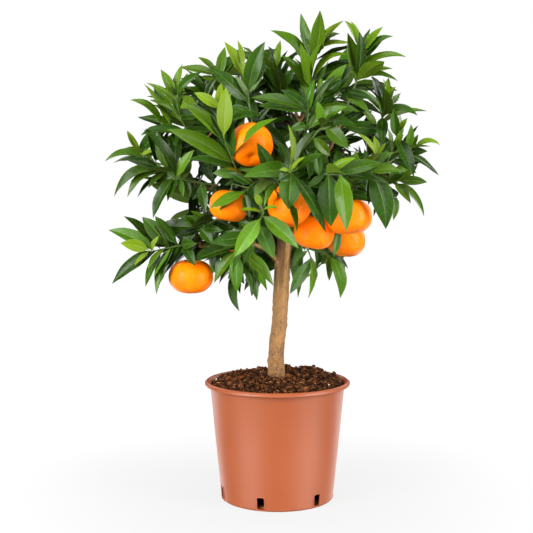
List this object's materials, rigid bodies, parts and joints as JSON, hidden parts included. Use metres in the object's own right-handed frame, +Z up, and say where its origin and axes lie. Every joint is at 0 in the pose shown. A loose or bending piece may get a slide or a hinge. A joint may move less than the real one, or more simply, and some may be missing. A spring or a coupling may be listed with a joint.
{
  "type": "potted mandarin tree",
  "caption": "Small mandarin tree on one upright trunk, with glossy leafy sprays, yellow-green young shoots and round orange fruit, standing in soil in a tapered round pot.",
  "frame": {"origin": "centre of the underside of the pot, on the surface that it stands on", "axes": "+Z up along the trunk, the pictured front of the tree towards -Y, +X to the right as seen from the front"},
  "size_m": [0.4509, 0.4023, 0.6606],
  "materials": {
    "pot_plastic": "satin, moulded, terracotta coloured",
    "soil": "rough, fibrous potting mix",
    "bark": "rough bark with shallow fissures",
    "mature_leaf": "glossy, waxy, dark green",
    "young_leaf": "satin, bright yellow-green",
    "mandarin_peel": "semi-gloss, dimpled, orange"
  },
  "bodies": {
    "root": {"pot": "pot_plastic", "soil": "soil", "trunk": "bark", "mandarin_upper": "mandarin_peel", "mandarin_left": "mandarin_peel", "mandarin_low_left": "mandarin_peel", "mandarin_centre": "mandarin_peel", "mandarin_centre_low": "mandarin_peel", "mandarin_right": "mandarin_peel", "mandarin_low_right": "mandarin_peel", "mandarin_back_high": "mandarin_peel", "mandarin_back_low": "mandarin_peel", "spray_left_high": "mature_leaf", "spray_top_left": "mature_leaf", "spray_front_left": "mature_leaf", "spray_top_mid_left": "mature_leaf", "spray_top_mid": "mature_leaf", "spray_leader": "mature_leaf", "spray_right_high": "mature_leaf", "spray_right_shoulder": "mature_leaf", "spray_far_right": "mature_leaf", "spray_right_mid": "mature_leaf", "spray_right_front": "mature_leaf", "spray_front_right": "mature_leaf", "spray_centre_front": "mature_leaf", "spray_centre_left": "mature_leaf", "spray_below_centre": "mature_leaf", "spray_mid_left_front": "mature_leaf", "spray_low_centre": "mature_leaf", "spray_low_left_inner": "mature_leaf", "spray_low_left": "mature_leaf", "spray_left_mid": "mature_leaf", "spray_left_lower": "mature_leaf", "spray_right_upper_inner": "mature_leaf", "spray_right_inner_front": "mature_leaf", "spray_right_centre": "mature_leaf", "spray_top_front": "mature_leaf", "spray_low_right": "mature_leaf", "spray_between_mandarins": "mature_leaf", "spray_back_1": "mature_leaf", "spray_back_2": "mature_leaf", "spray_back_3": "mature_leaf", "spray_back_4": "mature_leaf", "spray_back_5": "mature_leaf", "spray_back_6": "mature_leaf", "spray_back_7": "mature_leaf", "spray_back_8": "mature_leaf", "spray_back_9": "mature_leaf", "spray_back_10": "mature_leaf", "spray_back_11": "mature_leaf", "young_front_left": "young_leaf", "young_top_mid_left": "young_leaf", "young_leader": "young_leaf", "young_below_centre": "young_leaf", "young_low_left": "young_leaf", "young_left_mid": "young_leaf", "young_right": "young_leaf", "young_centre_front": "young_leaf", "young_far_right": "young_leaf", "young_right_shoulder": "young_leaf"}
  },
  "joints": []
}
